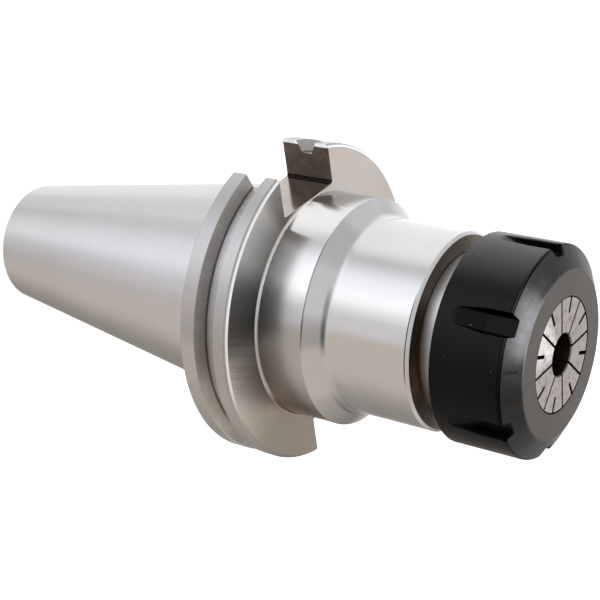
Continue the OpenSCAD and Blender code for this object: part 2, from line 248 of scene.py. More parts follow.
class Sheet:
    """A node tree that is written as expressions."""

    def __init__(self, tree):
        self.tree = tree

    def node(self, kind, settings, inputs, output=0):
        """Adds one node: its settings first, then the values or links of its sockets."""
        made = self.tree.nodes.new(kind)
        for name, setting in settings.items():
            setattr(made, name, setting)
        for name, value in inputs.items():
            if isinstance(value, Value):
                self.tree.links.new(value.socket, made.inputs[name])
            else:
                made.inputs[name].default_value = value
        return Value(self, made.outputs[output])

    def math(self, operation, *values):
        """One Math node."""
        return self.node("ShaderNodeMath", {"operation": operation}, dict(enumerate(values)))

    def hypot(self, a, b):
        """The long side of a right triangle with the short sides a and b."""
        return self.math("POWER", a * a + b * b, 0.5)

    def position(self, kind="Object"):
        """Coordinates of one kind as a vector and as three values, x, y and z."""
        place = self.node("ShaderNodeTexCoord", {}, {}, kind)
        split = self.tree.nodes.new("ShaderNodeSeparateXYZ")
        self.tree.links.new(place.socket, split.inputs[0])
        return place, [Value(self, split.outputs[axis]) for axis in "XYZ"]

    def vector(self, x, y, z):
        """A vector from three values."""
        return self.node("ShaderNodeCombineXYZ", {}, {0: x, 1: y, 2: z})

    def noise(self, vector, scale, detail, rough):
        """Noise from 0 to 1 about 0.5."""
        inputs = {"Vector": vector, "Scale": scale, "Detail": detail, "Roughness": rough}
        return self.node("ShaderNodeTexNoise", {}, inputs, "Fac")

    def step(self, value, low, high):
        """0 below low and 1 above high, with a smooth rise between."""
        settings = {"interpolation_type": "SMOOTHSTEP"}
        return self.node("ShaderNodeMapRange", settings, {"Value": value, "From Min": low, "From Max": high})

    def band(self, value, low, high, soft):
        """1 between low and high and 0 outside, with soft edges."""
        return self.step(value, low - soft, low) * (1 - self.step(value, high, high + soft))

    def mix(self, factor, a, b):
        """Colour a where factor is 0 and colour b where it is 1."""
        a, b = [each if isinstance(each, Value) else (*each, 1) for each in (a, b)]
        return self.node("ShaderNodeMix", {"data_type": "RGBA"}, {0: factor, 6: a, 7: b}, 2)

    def layered(self, base, layers):
        """A colour with others laid over it in order, each as a pair of its share and its colour."""
        for covered, tint in layers:
            base = self.mix(covered, base, tint)
        return base

    def scaled(self, tint, factor):
        """A colour scaled by one value."""
        tint = tint if isinstance(tint, Value) else tuple(tint)
        return self.node("ShaderNodeVectorMath", {"operation": "SCALE"}, {0: tint, 3: factor})

    def add(self, a, b):
        """The sum of two colours."""
        return self.node("ShaderNodeVectorMath", {"operation": "ADD"}, {0: a, 1: b})

    def bump(self, height):
        """A normal from a height between 0 and 1, where 1 stands the depth of a grinding mark out."""
        return self.node("ShaderNodeBump", {}, {"Height": height, "Distance": MARK_DEPTH, "Strength": 1.0})

    def seen(self):
        """1 for a ray that starts at the camera and 0 for any other."""
        return self.node("ShaderNodeLightPath", {}, {}, "Is Camera Ray")


def along(x, y, azimuth):
    """How far a level place lies in the direction of an azimuth."""
    return x * math.cos(math.radians(azimuth)) + y * math.sin(math.radians(azimuth))


def lobe(sheet, x, y, azimuth, full, ends):
    """1 within the full angle of an azimuth and 0 where it ends, for level directions x and y."""
    return sheet.step(along(x, y, azimuth), math.cos(math.radians(ends)), math.cos(math.radians(full)))


def past(size, edge):
    """Two places past a size, for an edge's two distances in millimetres."""
    return size + edge[0] * MM, size + edge[1] * MM


def swing(noise):
    """A noise that swings about 0 instead of 0.5."""
    return noise - 0.5


class Around:
    """A place on a turned piece: x, y, the height z, the radius r and the direction round the axis."""

    def __init__(self, sheet):
        self.sheet = sheet
        self.point, (self.x, self.y, self.z) = sheet.position()
        self.r = sheet.hypot(self.x, self.y)
        self.ax = self.x / (self.r + AXIS_GUARD)
        self.ay = self.y / (self.r + AXIS_GUARD)

    def lobe(self, azimuth, full, ends):
        """1 near an azimuth of the piece and 0 away from it."""
        return lobe(self.sheet, self.ax, self.ay, azimuth, full, ends)

    def turning(self, per_mm):
        """Fine marks of turning: noise that changes along the profile and not round the axis."""
        profile = self.sheet.vector(self.r * PROFILE_SKEW, 0.0, self.z)
        return self.sheet.noise(profile, per_mm / MM, *TURNED)


class Patch(NamedTuple):
    """A change in one zone by an amount, all round the axis or only near an azimuth, in degrees."""

    zone: str
    amount: float
    azimuth: Optional[float] = None
    full: float = 0.0
    ends: float = 0.0


EVERYWHERE = {"everywhere": 1.0}


def patched(at, zones, patches):
    """The sum of some patches, each its zone times its amount where its azimuth is."""
    total = 0.0
    for patch in patches:
        part = zones[patch.zone] * patch.amount
        if patch.azimuth is not None:
            part = part * at.lobe(patch.azimuth, patch.full, patch.ends)
        total = part + total
    return total


def toned(at, zones, factors):
    """The product of some factors, each 1 plus the sum of its patches."""
    product = 1.0
    for patches in factors:
        product = (1 + patched(at, zones, patches)) * product
    return product


def new_material(name):
    """An empty material with one Principled shader, as its sheet and shader."""
    material = bpy.data.materials.new(name)
    material.use_nodes = True
    tree = material.node_tree
    tree.nodes.clear()
    output = tree.nodes.new("ShaderNodeOutputMaterial")
    shader = tree.nodes.new("ShaderNodeBsdfPrincipled")
    tree.links.new(shader.outputs[0], output.inputs[0])
    return material, Sheet(tree), shader


def feed(sheet, shader, **inputs):
    """Sets or links sockets of the shader; an underscore in a name stands for a space."""
    for name, value in inputs.items():
        socket = shader.inputs[name.replace("_", " ")]
        if isinstance(value, Value):
            sheet.tree.links.new(value.socket, socket)
        else:
            socket.default_value = value


# ---- Marks that all pieces share ----

AXIS_GUARD = 0.1 * MM  # keeps the direction round the axis finite on the axis
MARK_DEPTH = 0.004 * MM
PROFILE_SKEW = 1.37  # makes marks on level faces differ from those on cylinders
TURNED = (3.0, 0.6)  # detail and roughness of the turning marks

# Noises as (scale for each metre, detail, roughness).
STEEL_GRAIN = (2600.0, 2.0, 0.5)
STEEL_CLOUDS = (45.0, 3.0, 0.5)
STEEL_BLOTCHES = (420.0, 4.0, 0.65)
STEEL_HAZE = (55.0, 3.0, 0.6)
FACE_RAYS = (26.0, 4.0, 0.65)
FACE_BRUSH = (900.0, 3.0, 0.65)
OXIDE_CLOUDS = (70.0, 4.0, 0.5)
OXIDE_MOTTLE = (330.0, 5.0, 0.7)
OXIDE_GRAIN = (1800.0, 2.0, 0.5)
OXIDE_SPECKS = (900.0, 1.0, 0.5)
COLLET_CLOUDS = (160.0, 3.0, 0.5)
COLLET_STAINS = (520.0, 5.0, 0.8)


# ---- The holder's steel ----

# Widths of the soft edges of the zones.
SOFT = 0.08 * MM
FINE_SOFT = 0.12 * MM
WIDE_SOFT = 0.8 * MM
OIL_SOFT = 0.2 * MM

# Edges of the holder's zones, as two distances in millimetres past the size that each is used with.
FLANGE_SKIN = (-0.3, -0.1)
FLANGE_REACH = (0.0, -0.1)
KEY_SIDE = (0.0, 0.08)
KEY_FLOOR_SKIN = (-0.3, -0.2)
KEY_WALL_FOOT = (0.01, 0.06)
KEY_CORNER_SIDE = (-0.9, -0.6)
KEY_CORNER_TOP = (0.7, 1.0)
LIP_EDGE = (0.0, 0.2)
PIT_EDGE = (0.25, 0.45)
GROOVE_DEPTH = (-1.0, -0.5)
GROOVE_WALL_FOOT = (-0.1, 0.1)
GROOVE_LINE = (-0.12, 0.2)
GROOVE_FLOOR_END = (-0.3, 0.0)
REAR_LAND_END = (0.0, 0.2)
FACE_SKIN = (-0.08, -0.03)
FACE_INNER = (0.5, 0.8)
RIM_DEPTH = (-1.0, -0.06)
RIM_SKIN = (-1.05, -0.95)
CHAMFER_SKIN = (-0.5, -0.4)
NECK_SKIN = (0.0, 0.08)
NECK_LINE = (0.03, 0.6)
NECK_START = (0.1, 0.3)
NECK_STOP = (-0.4, 0.0)
SHOULDER_LINE = (-0.2, 0.05)
CONE_LENGTH = (0.1, 4.5)
CONE_TOP = (4.3, 4.7)
BODY_EDGE = (-1.15, -0.9)
NOSE_START = (-0.02, 0.0)
SHELF_END = (0.1, 0.3)
ANNULUS_INNER = (0.15, 0.3)
RELIEF_SKIN = (0.05, 0.15)
OIL_FOOT = (0.3, 0.9)
OIL_RING = (0.15, 0.5)
CORNER_SHADE_REACH = (0.3, 0.75)
TAPER_END = (-0.2, 0.2)

PIT = (-2.47, 13.77)  # y and z of a small dark pit in the keyways' floors, in millimetres

# Stretches of azimuth as (middle, full within, gone beyond).
LOWER_SIDE = (155.0, 20.0, 60.0)
BOTTOM = (132.0, 5.0, 45.0)
TAPER_REFLECTION_SIDE = (74.0, 11.0, 33.0)
UNLIT_CHAMFER_SIDE = (145.0, 28.0, 54.0)
LIT_WALL_SIDE = (107.0, 6.0, 22.0)
FACE_COOL_REFLECTION_SIDE = (58.0, 10.0, 45.0)
BRUSH_AND_SHEEN_SIDE = (81.0, 6.0, 22.0)
OUTER_FACE = (66.0, 35.0, 60.0)
STAINED_LINE = (140.0, 12.0, 34.0)
WARM_ANNULUS = (80.0, 20.0, 50.0)
OILY = (84.0, 14.0, 45.0)
UNSHADED_CORNER_SIDE = (90.0, 14.0, 40.0)

# Painted dark reflections on the polished steel, and a painted shadow line at the shoulder, added up.
PAINTED_DARK_REFLECTIONS = (
    Patch("painted_shoulder_shadow", 0.6, 52.0, 12.0, 34.0),
    Patch("cone_top", 0.5, 66.0, 8.0, 22.0),
    Patch("body_edge", 0.85, 66.0, 16.0, 30.0),
    Patch("cone", 0.3, 72.0, 2.0, 12.0),
    Patch("cone", 0.35, 132.0, 12.0, 28.0),
    Patch("cone", 0.18, 23.0, 8.0, 18.0),
    Patch("cone", 0.3, -38.0, 6.0, 24.0),
    Patch("neck", 0.3, 94.0, 18.0, 44.0),
    Patch("neck", 0.46, 136.0, 6.0, 24.0),
    Patch("neck", 0.2, -12.0, 5.0, 13.0),
)

# Factors of the steel's tone; each row is one factor. Most rows paint light and shade: shade in corners and
# under the nut, and lighter or darker stretches by azimuth; the pit is a real mark.
STEEL_TONE_AND_PAINTED_LIGHT = (
    # painted shade: a dark line in the groove's corner and dark corners in the keyways
    (Patch("groove_line", -0.62),),
    (Patch("key_corner", -0.8),),
    (Patch("pit", -0.9),),
    # painted light and shade by azimuth on the lands, the rim and the groove floor; the lands and the groove
    # floor are also a little darker all round
    (Patch("land", -0.22), Patch("land", 0.3, *BOTTOM)),
    (Patch("rear_land", 0.16, 86.0, 3.0, 12.0), Patch("rear_land", 0.2, 134.0, 4.0, 16.0)),
    (Patch("rim", -0.35, *LOWER_SIDE),),
    (Patch("rim_painted_shade", -0.25),),
    (Patch("groove_floor", -0.2), Patch("groove_floor", -0.14, 66.0, 10.0, 40.0),
     Patch("groove_floor", 0.2, *BOTTOM)),
    (Patch("neck", 0.12),),
    # painted highlight on one side of the body; painted light on top of the thread relief and painted shade
    # under the nut
    (Patch("body", 0.14, 116.0, 3.0, 12.0),),
    (Patch("thread", 0.6, -28.0, 10.0, 40.0),),
    (Patch("thread", -0.3, 76.0, 16.0, 40.0),),
    # painted reflections on the taper: a lighter band and a darker one
    (Patch("taper", 0.15, *TAPER_REFLECTION_SIDE), Patch("taper", -0.14, 13.0, 2.0, 11.0)),
    # painted shade in the corner in front of the body, behind the nut
    (Patch("painted_corner_shade", -0.75),),
)
# painted reflections on the flange's front face: darker and lighter stretches by azimuth
FACE_PAINTED_REFLECTIONS = (
    (Patch("everywhere", -0.73, 66.0, 2.0, 21.0),),
    (Patch("everywhere", 0.28, 101.0, 5.0, 30.0),),
    (Patch("everywhere", -0.52, 16.0, 5.0, 13.0),),
)
# painted reflections on the body's front face: darker and lighter stretches by azimuth
ANNULUS_PAINTED_REFLECTIONS = (
    (Patch("everywhere", -0.72, 64.0, 4.0, 27.0),),
    (Patch("everywhere", -0.45, 121.0, 8.0, 24.0),),
    (Patch("everywhere", 0.45, -34.0, 6.0, 20.0),),
)

BLOTCHED = (Patch("keyway", 0.5), Patch("key_wall", 0.8), Patch("groove", 0.5), Patch("annulus", 1.0))
ROUGHER = (Patch("taper", 0.07), Patch("key_wall", 0.28), Patch("key_corner", 0.4), Patch("annulus", 0.2),
           Patch("groove_wall", 0.12), Patch("land", 0.1), Patch("key_middle", -0.18))
COOL_REFLECTION_ON_TAPER = (Patch("taper", 0.6, *TAPER_REFLECTION_SIDE),)

# How strongly each noise or layer shows.
CLOUD_TONE = 0.10
LINE_TONE = 0.10
GRAIN_TONE = 0.34
POLISHED_GRAIN_TONE = 0.08
CLOUD_ROUGH = 0.10
HAZE_RISE = (0.42, 0.68)
HAZE_SHARE = 0.45
LIP_HIGHLIGHT_SHARE = 0.75
AMBER_SHARE = 0.95
RAY_TONE = 0.12
BRUSH_TONE = 0.95
LINES_PER_MM, FINE_LINES_PER_MM = 2.2, 9.0
LINE_HEIGHT, FINE_LINE_HEIGHT, GRAIN_HEIGHT = 0.3, 0.7, 0.4
SHEEN, SHEEN_TURN = 0.6, 0.25  # stretched highlights, a quarter turn from the surface's own direction

# Painted light on the flange's front face: brighter towards one azimuth, and on one side brighter with its
# radius.
FACE_LIGHT_AZIMUTH, FACE_PAINTED_LIGHT = -35.0, 0.48
FACE_MIDDLE, FACE_HALF, FACE_OUTER_PAINTED_LIGHT = 43.2 * MM, 8.5 * MM, 0.6
BRUSH_AZIMUTH = 60.0


def flange_zones(at, sizes):
    """Zones of the flange and its keyways, as values that are 1 inside a zone and 0 outside."""
    step, band = at.sheet.step, at.sheet.band
    y, z, r = at.y, at.z, at.r
    outer, front = sizes.flange_radius, sizes.flange_front
    below_skin = 1 - step(r, *past(outer, FLANGE_SKIN))
    in_flange = band(z, sizes.flange_rear + FLANGE_REACH[0] * MM, front + FLANGE_REACH[1] * MM, SOFT)
    across, out = abs(y), abs(at.x)
    keyway = (1 - step(across, *past(sizes.key_half, KEY_SIDE))) * in_flange
    keyway = keyway * step(out, *past(sizes.key_floor, KEY_FLOOR_SKIN))
    solid = 1 - keyway
    key_wall = keyway * step(out, *past(sizes.key_floor, KEY_WALL_FOOT))
    key_floor = keyway * (1 - key_wall)
    key_corner = keyway * step(across, *past(sizes.key_half, KEY_CORNER_SIDE))
    key_corner = key_corner * (1 - step(out, *past(sizes.key_floor, KEY_CORNER_TOP)))
    to_pit = at.sheet.hypot(y - PIT[0] * MM, z - PIT[1] * MM)
    land = (1 - below_skin) * in_flange * solid
    groove = band(z, sizes.groove_low, sizes.groove_high, SOFT) * below_skin * solid
    groove = groove * step(r, *past(sizes.groove_radius, GROOVE_DEPTH))
    wall_foot = sizes.groove_low + sizes.groove_run
    groove_wall = groove * (1 - step(z, *past(wall_foot, GROOVE_WALL_FOOT)))
    groove_floor = groove * (1 - groove_wall) * (1 - step(z, *past(sizes.groove_high, GROOVE_FLOOR_END)))
    rim = band(z, *past(front, RIM_DEPTH), SOFT) * solid * step(r, *past(outer, RIM_SKIN))
    # painted highlight on the chamfer, left out on the lower side
    chamfer_highlight = rim * (1 - step(r, *past(outer, CHAMFER_SKIN))) * (1 - at.lobe(*UNLIT_CHAMFER_SIDE))
    return {
        "keyway": keyway,
        "key_wall": key_wall,
        "key_floor": key_floor,
        "key_corner": key_corner,
        "key_middle": key_floor * (1 - key_corner),
        "pit": keyway * (1 - step(to_pit, *past(0.0, PIT_EDGE))),
        "lip": key_wall * step(r, *past(outer - sizes.lip, LIP_EDGE)),
        "land": land,
        "rear_land": land * (1 - step(z, *past(sizes.groove_low, REAR_LAND_END))),
        "groove": groove,
        "groove_wall": groove_wall,
        "groove_line": groove * band(z, *past(wall_foot, GROOVE_LINE), SOFT * 2),
        "groove_floor": groove_floor,
        "rim": rim,
        "rim_painted_shade": rim * (1 - chamfer_highlight) * (1 - at.lobe(*LOWER_SIDE)),
        "chamfer_highlight": chamfer_highlight,
        "face": step(z, *past(front, FACE_SKIN)) * step(r, *past(sizes.neck_radius, FACE_INNER)),
    }


def body_zones(at, sizes):
    """Zones of the taper, the neck, the shoulder, the body and the nose, as values from 0 to 1."""
    step, band = at.sheet.step, at.sheet.band
    z, r = at.z, at.r
    fillet = step(r, *past(sizes.neck_radius, NECK_SKIN)) * (1 - step(r, *past(sizes.neck_radius, FACE_INNER)))
    neck_line = band(z, *past(sizes.flange_front, NECK_LINE), SOFT) * fillet
    front = step(z, *past(sizes.flange_front, NECK_START))
    nose = step(z, *past(sizes.body_front, NOSE_START))
    polished = front * (1 - nose)
    neck = front * (1 - step(z, *past(sizes.neck_end, NECK_STOP)))
    shelf = nose * (1 - step(z, *past(sizes.body_front, SHELF_END)))
    relief = nose * (1 - step(r, *past(sizes.relief_radius, RELIEF_SKIN)))
    oil = shelf * band(r, *past(sizes.relief_radius, OIL_RING), OIL_SOFT)
    oil = oil + relief * (1 - step(z, *past(sizes.body_front, OIL_FOOT)))
    # painted shade in the corner between the body's front face and the relief, left out on one side
    painted_corner_shade = shelf * (1 - step(r, *past(sizes.relief_radius, CORNER_SHADE_REACH)))
    return {
        "taper": 1 - step(z, *past(0.0, TAPER_END)),
        "neck_line": neck_line,
        "polished": polished,
        "neck": neck,
        "body": polished - neck,
        "painted_shoulder_shadow": band(z, *past(sizes.neck_end, SHOULDER_LINE), FINE_SOFT),
        "cone": band(z, *past(sizes.neck_end, CONE_LENGTH), WIDE_SOFT),
        "cone_top": band(z, *past(sizes.neck_end, CONE_TOP), WIDE_SOFT),
        "body_edge": band(z, *past(sizes.body_front, BODY_EDGE), FINE_SOFT),
        "annulus": shelf * step(r, *past(sizes.relief_radius, ANNULUS_INNER)),
        "thread": nose - shelf,
        "oil": oil.clamped(),
        "painted_corner_shade": painted_corner_shade * (1 - at.lobe(*UNSHADED_CORNER_SIDE)),
    }


def face_colour(at, finish):
    """The flange's front face: painted cool and warm reflections on two sides, painted light by azimuth and
    radius, rays all round and level brush marks on one side.
    """
    sheet = at.sheet
    tint = sheet.mix(at.lobe(*FACE_COOL_REFLECTION_SIDE), finish.face, finish.face_cool_reflection)
    tint = sheet.mix(at.lobe(*LOWER_SIDE), tint, finish.face_warm_reflection)
    # painted light: brighter towards one azimuth
    glow = 1 + along(at.ax, at.ay, FACE_LIGHT_AZIMUTH) * FACE_PAINTED_LIGHT
    outward = (at.r - FACE_MIDDLE) / FACE_HALF * at.lobe(*OUTER_FACE)
    rays = swing(sheet.noise(sheet.vector(at.ax, at.ay, 0.0), *FACE_RAYS)) * RAY_TONE
    across = sheet.vector(along(at.x, at.y, BRUSH_AZIMUTH - 90.0), 0.0, 0.0)
    # level brush marks shown only on one side, where they also stand for a painted sheen
    brush = swing(sheet.noise(across, *FACE_BRUSH)) * BRUSH_TONE * at.lobe(*BRUSH_AND_SHEEN_SIDE)
    tone = glow * (1 + outward * FACE_OUTER_PAINTED_LIGHT) * toned(at, EVERYWHERE, FACE_PAINTED_REFLECTIONS)
    return sheet.scaled(tint, tone * (1 + rays + brush))


def annulus_colour(at, finish):
    """The body's front face behind the nut, with a film of oil on one side and painted reflections by azimuth.
    """
    tint = at.sheet.mix(at.lobe(*WARM_ANNULUS), finish.annulus, finish.annulus_warm)
    return at.sheet.scaled(tint, toned(at, EVERYWHERE, ANNULUS_PAINTED_REFLECTIONS))


def holder_colour(at, zones, finish):
    """The holder's colour: ground steel, with the other finishes laid over it in their zones, painted
    highlights and reflections among them.
    """
    sheet = at.sheet
    haze = sheet.step(sheet.noise(at.point, *STEEL_HAZE), *HAZE_RISE)
    # random haze on the neck and body, plus a painted cool reflection on one side of the taper
    haze_and_taper_reflection = zones["polished"] * haze * HAZE_SHARE + patched(at, zones, COOL_REFLECTION_ON_TAPER)
    # painted light: the groove wall turns paler near one azimuth
    wall = sheet.mix(at.lobe(*LIT_WALL_SIDE), finish.milled, finish.milled_painted_light)
    return sheet.layered(finish.steel, (
        (haze_and_taper_reflection, finish.haze),
        (zones["groove_wall"], wall),
        (zones["key_wall"], finish.key_wall),
        # the keyways' broken edges: a bump tilts them and a painted highlight brightens them
        (zones["lip"] * LIP_HIGHLIGHT_SHARE, finish.chamfer_highlight),
        (zones["key_floor"], finish.key_floor),
        (zones["face"], face_colour(at, finish)),
        (zones["neck_line"], finish.neck_line),
        (zones["neck_line"] * at.lobe(*STAINED_LINE), finish.neck_stain),
        (zones["chamfer_highlight"], finish.chamfer_highlight),
        (zones["annulus"], annulus_colour(at, finish)),
        (zones["oil"] * at.lobe(*OILY) * AMBER_SHARE, finish.amber),
    ))


def ground_steel(sizes, finish):
    """Ground taper and flange, milled groove and keyways, polished neck and body, by place on the holder, with
    painted light, shade and reflections laid into the colour.
    """
    material, sheet, shader = new_material("ground_steel")
    at = Around(sheet)
    zones = {**flange_zones(at, sizes), **body_zones(at, sizes)}
    polished = zones["polished"]
    clouds = sheet.noise(at.point, *STEEL_CLOUDS)
    blotches = sheet.noise(at.point, *STEEL_BLOTCHES)
    grain = sheet.noise(at.point, *STEEL_GRAIN)
    lines, fine = at.turning(LINES_PER_MM), at.turning(FINE_LINES_PER_MM)
    tone = swing(clouds) * CLOUD_TONE + swing(lines) * LINE_TONE + 1
    tone = tone + swing(grain) * (GRAIN_TONE - polished * (GRAIN_TONE - POLISHED_GRAIN_TONE))
    # painted dark reflections, and painted light and shade by azimuth, in the steel's tone
    tone = tone * (1 - patched(at, zones, PAINTED_DARK_REFLECTIONS).clamped()) * toned(at, zones, STEEL_TONE_AND_PAINTED_LIGHT)
    tone = tone * (1 + swing(blotches) * patched(at, zones, BLOTCHED))
    rough = polished * (finish.polished_rough - finish.steel_rough) + finish.steel_rough
    rough = rough + patched(at, zones, ROUGHER) + swing(clouds) * CLOUD_ROUGH
    height = fine * FINE_LINE_HEIGHT + lines * LINE_HEIGHT + grain * GRAIN_HEIGHT * (1 - polished)
    lips = ((at.r - sizes.flange_radius + sizes.lip) / sizes.lip).clamped() * zones["key_wall"]
    height = height - lips * (sizes.lip / MARK_DEPTH)
    feed(sheet, shader, Base_Color=sheet.scaled(holder_colour(at, zones, finish), tone), Metallic=1.0,
         Roughness=rough, Normal=sheet.bump(height), Anisotropic=SHEEN, Anisotropic_Rotation=SHEEN_TURN)
    return material


# ---- The nut's black oxide ----

# Edges of the nut's zones, as two distances in millimetres past the size that each is used with.
NUT_FACE_SKIN = (-0.06, -0.01)
MOUTH_SKIN = (0.1, 0.2)
BEVEL_START = (-0.1, 0.2)
BEVEL_SKIN = (0.25, 0.5)
SLOT_SKIN = (-0.5, -0.2)
SLOT_DEPTH = (0.3, 0.8)
SLOT_INNER = (0.0, 1.0)
SLOT_WALL = (0.0, 0.15)
CORNER_RADIUS, CORNER_SOFT = (-0.55, -0.1), 0.15 * MM
CORNER_HEIGHT, CORNER_RUN = (-0.5, 0.6), 0.2 * MM
RIM_WIDTH, RIM_SOFT = (-0.05, 0.3), 0.15 * MM

# One fine rub mark across the bevel: its azimuth, half width and length.
RUB_AZIMUTH = 71.0
RUB_WIDTH = (0.008, 0.02)
RUB_SIDE = (0.0, 0.5)
RUB_INNER, RUB_OUTER, RUB_SOFT = 2.2 * MM, 1.5 * MM, 0.6 * MM
RUB_TONE = 0.6

# Painted highlight on the nut's bevel near one azimuth, strongest towards its inner edge; on the rim, a little
# wear all round and a painted highlight near one azimuth.
BEVEL_HIGHLIGHT = (Patch("everywhere", 0.82, 44.0, 1.0, 26.0), Patch("everywhere", 0.14, 44.0, 15.0, 44.0))
HIGHLIGHT_MARGIN, HIGHLIGHT_INWARD, HIGHLIGHT_BASE = 0.4 * MM, 0.9, 0.45
RIM_WEAR_AND_HIGHLIGHT, RIM_WEAR_BASE = (Patch("everywhere", 0.8, 50.0, 5.0, 40.0),), 0.1
LIT_TOP_SIDE = (-22.0, 8.0, 54.0)
FACE_SHADE = ((Patch("everywhere", -0.17, 125.0, 25.0, 75.0),),)
# Painted shade: dark spanner slots, darker slot walls and a dark band at the corner of the side and the bevel;
# on one side the reflection is dulled as painted shade.
SLOT_AND_CORNER_SHADE = (Patch("slot", 0.3), Patch("slot_wall", 0.6), Patch("corner", 0.9))
SHADED_NUT_SIDE = (106.0, 24.0, 46.0)
SIDE_SHADE_DULLING = (Patch("side", 0.35, *SHADED_NUT_SIDE), Patch("bevel", 0.5, *SHADED_NUT_SIDE))
SPECK_RISE, SPECK_SHARE = (0.785, 0.815), 0.6
OXIDE_CLOUD_TONE, OXIDE_GRAIN_TONE = 0.5, 0.2
MOTTLE_TONE, BEVEL_MOTTLE_TONE = 0.4, 0.6
OXIDE_CLOUD_ROUGH, FACE_ROUGH = 0.2, 0.12


def nut_zones(at, sizes):
    """Zones of the nut: flat face, bevel, spanner slots and their walls, the rim with wear and a painted
    highlight, and the plain side.
    """
    sheet, z, r = at.sheet, at.z, at.r
    step, band = sheet.step, sheet.band
    face_radius = sizes.nut_face_radius
    outside = step(r, *past(sizes.mouth_radius, MOUTH_SKIN))
    flat = step(z, *past(NUT_FACE, NUT_FACE_SKIN)) * outside
    below_bevel = NUT_FACE - z - (r - face_radius) * sizes.nut_slope
    bevel = step(z, *past(sizes.nut_edge, BEVEL_START)) * (1 - flat) * outside
    bevel = bevel * (1 - step(below_bevel, *past(0.0, BEVEL_SKIN)))
    slot = outside * (1 - step(r, *past(sizes.nut_radius, SLOT_SKIN))) * (1 - flat)
    slot = slot * step(below_bevel, *past(0.0, SLOT_DEPTH)) * step(r, *past(face_radius, SLOT_INNER))
    turn = sheet.math("ARCTAN2", at.ay, at.ax) + (2 * math.pi - sizes.nut_clock)
    from_slot = sheet.math("PINGPONG", turn, math.pi / sizes.slot_count)
    corner = band(r, *past(sizes.nut_radius, CORNER_RADIUS), CORNER_SOFT)
    rub = 1 - step(abs(along(at.ax, at.ay, RUB_AZIMUTH - 90.0)), *RUB_WIDTH)
    rub = bevel * rub * step(at.ay, *RUB_SIDE)
    return {
        "everywhere": 1.0,
        "flat": flat,
        "bevel": bevel,
        "slot": slot,
        "slot_wall": slot * step(from_slot * r, *past(sizes.slot_half, SLOT_WALL)),
        "corner": corner * band(z, *past(sizes.nut_edge, CORNER_HEIGHT), CORNER_RUN),
        "rub": rub * band(r, face_radius + RUB_INNER, sizes.nut_radius - RUB_OUTER, RUB_SOFT),
        "rim": band(r, *past(face_radius, RIM_WIDTH), RIM_SOFT) * bevel,
        "side": (1 - bevel) * (1 - flat) * (1 - slot),
    }


def black_oxide(sizes, finish):
    """Satin black oxide, greyer on the flat face, with a painted highlight on the bevel near one azimuth,
    strongest towards its inner edge.
    """
    material, sheet, shader = new_material("black_oxide")
    at = Around(sheet)
    zones = nut_zones(at, sizes)
    bevel, flat = zones["bevel"], zones["flat"]
    inward = sizes.nut_radius - HIGHLIGHT_MARGIN - at.r
    inward = (inward / (sizes.nut_radius - sizes.nut_face_radius)).clamped()
    bevel_highlight = patched(at, zones, BEVEL_HIGHLIGHT) * (inward * HIGHLIGHT_INWARD + HIGHLIGHT_BASE).clamped()
    rim_wear_and_highlight = patched(at, zones, RIM_WEAR_AND_HIGHLIGHT) + RIM_WEAR_BASE
    clouds = sheet.noise(at.point, *OXIDE_CLOUDS)
    mottle = sheet.noise(at.point, *OXIDE_MOTTLE)
    grain = sheet.noise(at.point, *OXIDE_GRAIN)
    specks = sheet.step(sheet.noise(at.point, *OXIDE_SPECKS), *SPECK_RISE)
    tone = swing(clouds) * OXIDE_CLOUD_TONE + swing(grain) * OXIDE_GRAIN_TONE + 1
    tone = tone + swing(mottle) * (bevel * BEVEL_MOTTLE_TONE + MOTTLE_TONE)
    tone = tone * (1 - zones["rub"] * RUB_TONE)
    black = patched(at, zones, SLOT_AND_CORNER_SHADE).clamped()
    slot_and_side_shade = (black + patched(at, zones, SIDE_SHADE_DULLING)).clamped()
    shade = sheet.layered(finish.oxide, (
        # painted light on the nut's top side
        (zones["side"] * at.lobe(*LIT_TOP_SIDE), finish.oxide_lit_top),
        (bevel, sheet.mix(bevel_highlight, finish.oxide_dull, finish.oxide_bevel_highlight)),
        (zones["rim"] * rim_wear_and_highlight, finish.oxide_rim),
        (flat, sheet.scaled(finish.oxide_face, toned(at, zones, FACE_SHADE))),
    ))
    # painted shade darkens the slots and the corner
    shade = sheet.scaled(shade, tone * (1 - black))
    shade = sheet.mix(specks * (1 - black) * SPECK_SHARE, shade, finish.oxide_rim)
    rough = swing(clouds) * OXIDE_CLOUD_ROUGH + flat * FACE_ROUGH + finish.oxide_rough
    feed(sheet, shader, Base_Color=shade, Metallic=slot_and_side_shade, Roughness=rough, Normal=sheet.bump(grain),
         Specular_IOR_Level=finish.oxide_gloss)
    return material


# ---- The collet's steel ----

COLLET_SKIN = (-0.05, -0.01)
BORE_SKIN = (0.02, 0.1)
STAIN_RISE, STAIN_SHARE = (0.5, 0.62), 0.7
STAIN_INNER, STAIN_OUTER, STAIN_SOFT = 1.5 * MM, 2.0 * MM, 1.5 * MM
COLLET_HIGHLIGHT_SIDE = (50.0, 4.0, 36.0)
COLLET_LINES_PER_MM = 6.0
COLLET_CLOUD_TONE, COLLET_LINE_TONE, COLLET_GRAIN_TONE = 0.3, 0.1, 0.3
COLLET_CLOUD_ROUGH = 0.1
COLLET_LINE_HEIGHT, COLLET_GRAIN_HEIGHT = 0.5, 0.5


